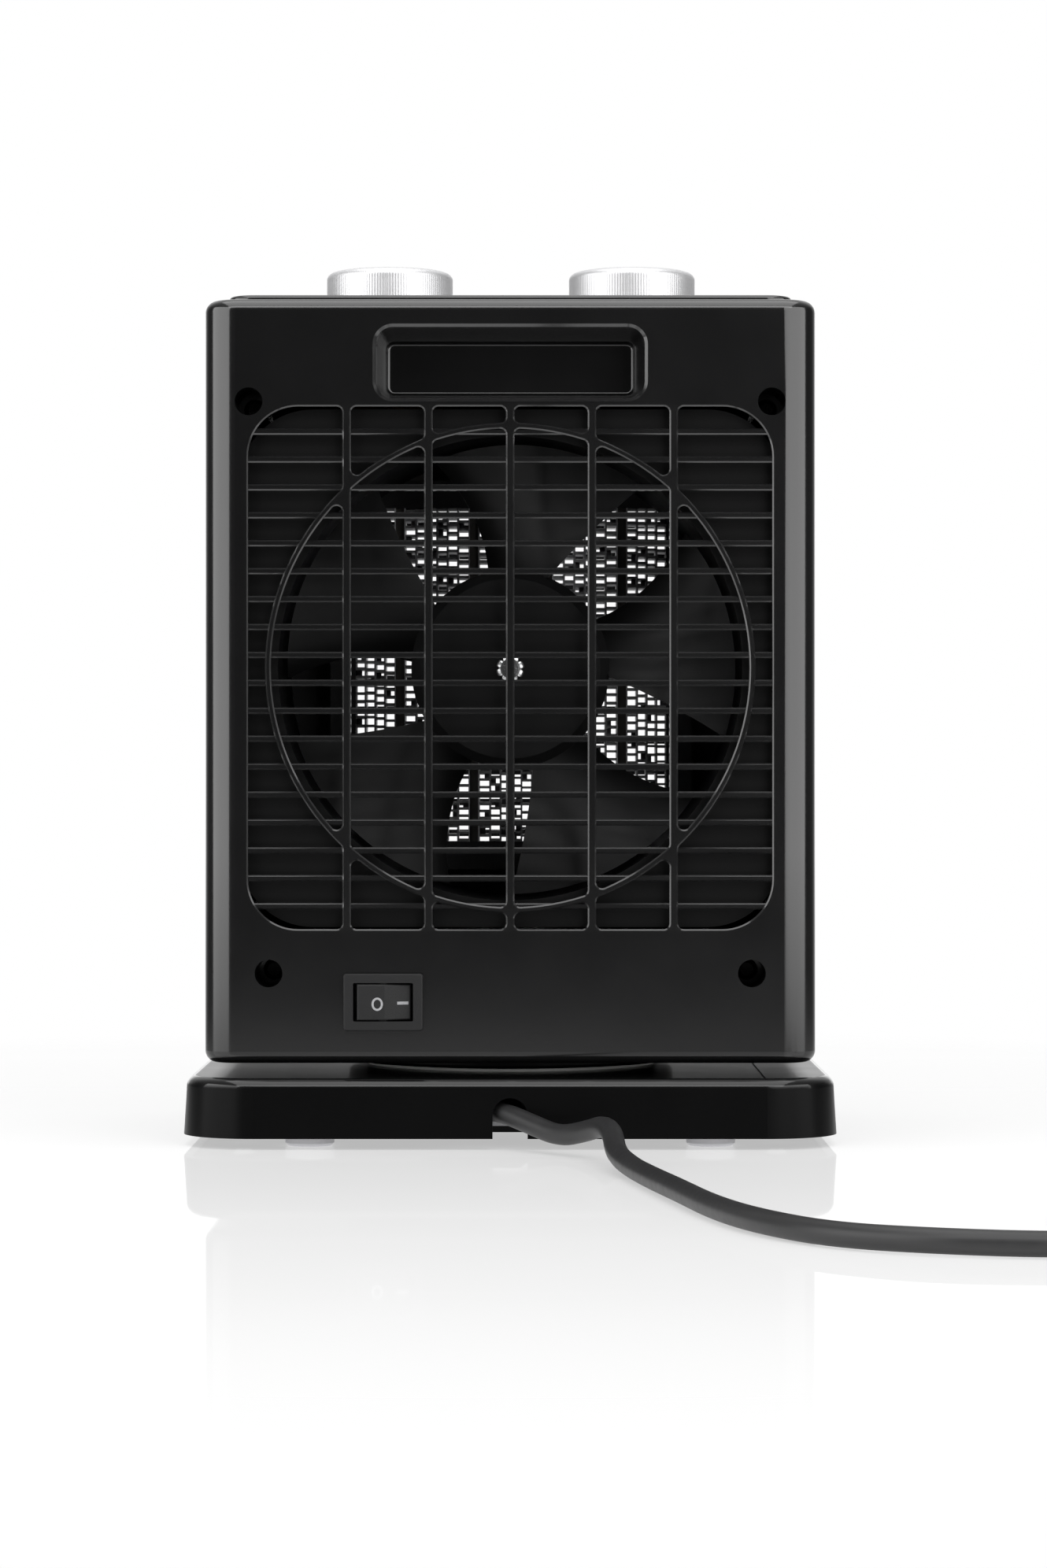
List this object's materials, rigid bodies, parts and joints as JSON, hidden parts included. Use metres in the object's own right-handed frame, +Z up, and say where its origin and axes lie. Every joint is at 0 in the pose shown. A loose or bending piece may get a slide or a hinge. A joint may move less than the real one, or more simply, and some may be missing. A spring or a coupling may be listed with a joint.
{
  "type": "ceramic space heater",
  "caption": "Upright oscillating ceramic fan heater on a low swivel base, with a barred round intake at the back, top knobs, a rocker switch, a grip recess and a mains lead.",
  "frame": {"origin": "under the middle of the base, on the surface that the rubber feet stand on", "axes": "+Z up, -Y out of the warm-air outlet, +X to the right seen from the outlet side"},
  "size_m": [0.3064, 0.3954, 0.2438],
  "materials": {
    "casing_black": "moulded, polished",
    "base_black": "moulded, high gloss",
    "grille_black": "moulded, satin",
    "inner_black": "moulded, matt",
    "fan_black": "moulded, satin",
    "knob_silver": "turned, metallised",
    "switch_black": "fine grain",
    "foot_rubber": "soft, translucent grey",
    "clamp_grey": "moulded",
    "zinc_steel": "zinc plated",
    "black_steel": "blackened",
    "bright_steel": "ground",
    "fin_aluminium": "rolled foil",
    "electrode_aluminium": "rolled",
    "heating_ceramic": "fired, matt",
    "heat_resin": "glass filled",
    "nylon_white": "moulded",
    "switch_resin": "phenolic",
    "cord_black": "satin PVC",
    "pin_brass": "nickel plated"
  },
  "bodies": {
    "base": {"base_shell": "base_black", "base_bottom_plate": "inner_black", "rubber_feet": "foot_rubber", "base_screws": "zinc_steel", "cord_clamp": "clamp_grey", "clamp_screws": "zinc_steel", "pivot_post": "nylon_white", "post_screws": "zinc_steel", "glide_ring": "nylon_white", "retaining_ring": "bright_steel", "drive_arm": "zinc_steel", "mains_cord": "cord_black", "cord_coil": "cord_black", "cord_tail": "cord_black", "plug_body": "cord_black", "plug_pins": "pin_brass"},
    "crank": {"crank_disc": "nylon_white", "crank_shaft": "bright_steel"},
    "fan": {"impeller": "fan_black", "impeller_clip": "bright_steel", "motor_shaft": "bright_steel"},
    "thermostat_control": {"thermostat_knob": "knob_silver", "thermostat_spindle": "bright_steel"},
    "mode_control": {"mode_knob": "knob_silver", "mode_spindle": "nylon_white"},
    "rocker": {"rocker_button": "switch_black"},
    "head": {"turntable_disc": "inner_black", "turntable_screws": "zinc_steel", "oscillation_motor": "zinc_steel", "oscillation_bracket": "zinc_steel", "motor_screws": "zinc_steel", "front_shell": "casing_black", "rear_shell": "casing_black", "rear_screws": "black_steel", "intake_grille": "grille_black", "front_grille": "grille_black", "control_panel": "casing_black", "thermostat": "heating_ceramic", "mode_switch": "switch_resin", "rocker_housing": "switch_black", "fan_duct": "inner_black", "outlet_duct": "heat_resin", "fan_motor": "zinc_steel", "motor_bracket": "inner_black", "heater_frame": "heat_resin", "heating_bars": "heating_ceramic", "electrode_strips": "electrode_aluminium", "fin_packs": "fin_aluminium", "thermal_cutout": "heating_ceramic", "terminal_block": "nylon_white"}
  },
  "joints": [
    {"name": "head_swivel", "type": "hinge", "parent": "base", "child": "head", "pos_m": [0, 0, 0.02], "axis": [0, 0, 1], "range_deg": [-35, 35]},
    {"name": "crank_spin", "type": "hinge", "parent": "head", "child": "crank", "pos_m": [0, -0.032, 0.038], "axis": [0, 0, 1], "continuous": true},
    {"name": "fan_spin", "type": "hinge", "parent": "head", "child": "fan", "pos_m": [0, 0.04, 0.1296], "axis": [0, 1, 0], "continuous": true},
    {"name": "thermostat_turn", "type": "hinge", "parent": "head", "child": "thermostat_control", "pos_m": [-0.0345, 0, 0.235], "axis": [0, 0, 1], "range_deg": [-280, 0]},
    {"name": "mode_turn", "type": "hinge", "parent": "head", "child": "mode_control", "pos_m": [0.0345, 0, 0.235], "axis": [0, 0, 1], "range_deg": [-120, 0]},
    {"name": "rocker_tilt", "type": "hinge", "parent": "head", "child": "rocker", "pos_m": [0.0343, 0.0619, 0.0393], "axis": [0, 0, 1], "range_deg": [-18, 0]}
  ]
}
